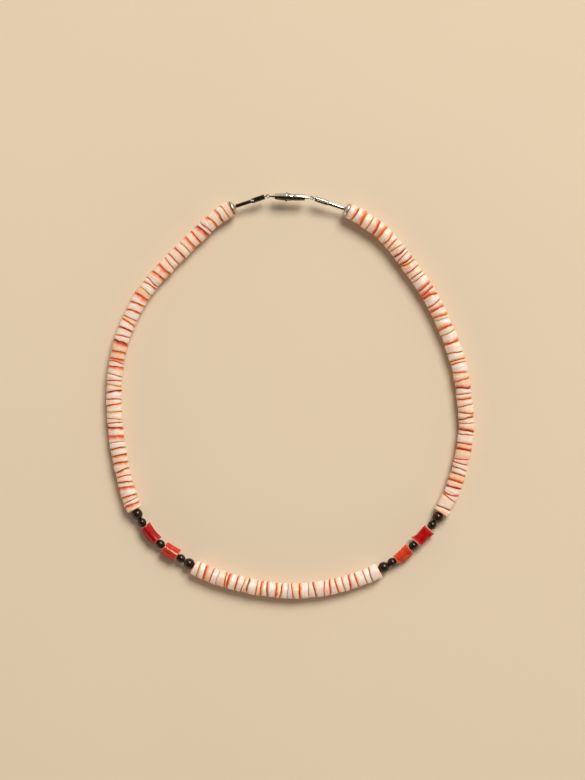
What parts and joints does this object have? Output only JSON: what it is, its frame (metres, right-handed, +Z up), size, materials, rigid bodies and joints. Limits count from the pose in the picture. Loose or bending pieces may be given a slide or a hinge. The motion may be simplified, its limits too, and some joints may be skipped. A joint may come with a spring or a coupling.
{
  "type": "beaded choker necklace",
  "caption": "Beaded choker of flat shell discs with coral and dark round beads, strung on one stiff thread and closed by a barrel screw clasp",
  "frame": {"origin": "middle of the loop's box, on the surface that the choker lies on", "axes": "+Z up, +Y from the loop's middle towards the clasp at the back of the neck, +X to the right seen from above with the clasp at the top"},
  "size_m": [0.1272, 0.1402, 0.0064],
  "materials": {
    "shell": "polished natural shell, cream to salmon, with orange-red rims",
    "dark_bead": "satin near-black drilled beads",
    "coral": "polished red branch coral",
    "silver": "polished silver, worn at the edges",
    "thread": "waxed bead thread"
  },
  "bodies": {
    "root": {"shell_discs_right": "shell", "shell_discs_front": "shell", "shell_discs_left": "shell", "dark_bead_right_1": "dark_bead", "dark_bead_right_2": "dark_bead", "dark_bead_right_3": "dark_bead", "dark_bead_right_4": "dark_bead", "dark_bead_right_5": "dark_bead", "dark_bead_left_1": "dark_bead", "dark_bead_left_2": "dark_bead", "dark_bead_left_3": "dark_bead", "dark_bead_left_4": "dark_bead", "dark_bead_left_5": "dark_bead", "coral_right_upper": "coral", "coral_right_lower": "coral", "coral_left_lower": "coral", "coral_left_upper": "coral", "end_cap_right": "silver", "end_cap_left": "silver", "crimp_tube_right": "silver", "crimp_tube_left": "silver", "clasp_plug": "silver", "clasp_sleeve": "silver", "thread": "thread"}
  },
  "joints": []
}
